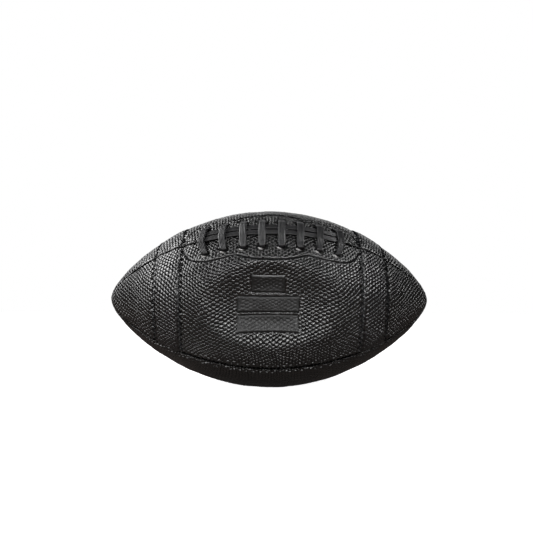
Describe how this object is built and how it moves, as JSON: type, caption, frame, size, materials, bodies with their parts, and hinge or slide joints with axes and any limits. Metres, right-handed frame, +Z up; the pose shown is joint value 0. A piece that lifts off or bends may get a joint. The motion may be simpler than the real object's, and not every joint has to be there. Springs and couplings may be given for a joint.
{
  "type": "american football",
  "caption": "Black pebbled leather american football lying on its side, laced seam up and to the front, with sewn stripes, linings, bladder and valve inside; slightly short of air.",
  "frame": {"origin": "middle of the flat spot that the ball rests on, under the middle of its long axis", "axes": "+X along the ball, +Z up, -Y the front; the laced seam is turned halfway between the front and the top"},
  "size_m": [0.2798, 0.1475, 0.1534],
  "materials": {
    "panel_leather": "pebbled black leather with a dull sheen",
    "stripe_leather": "pebbled black leather band",
    "lace_vinyl": "matt ribbed black vinyl",
    "lining_cloth": "plain woven cloth",
    "facing_vinyl": "coated cloth",
    "tongue_felt": "felted cloth",
    "bladder_rubber": "matt rubber",
    "valve_rubber": "matt moulded rubber"
  },
  "bodies": {
    "root": {"panel_front": "panel_leather", "panel_top": "panel_leather", "panel_rear": "panel_leather", "panel_bottom": "panel_leather", "lining_front": "lining_cloth", "lining_top": "lining_cloth", "lining_rear": "lining_cloth", "lining_bottom": "lining_cloth", "facing_front": "facing_vinyl", "facing_top": "facing_vinyl", "stripe_front_left": "stripe_leather", "stripe_front_right": "stripe_leather", "stripe_top_left": "stripe_leather", "stripe_top_right": "stripe_leather", "lace": "lace_vinyl", "tongue": "tongue_felt", "bladder": "bladder_rubber", "valve_housing": "valve_rubber", "valve_plug": "valve_rubber"}
  },
  "joints": []
}
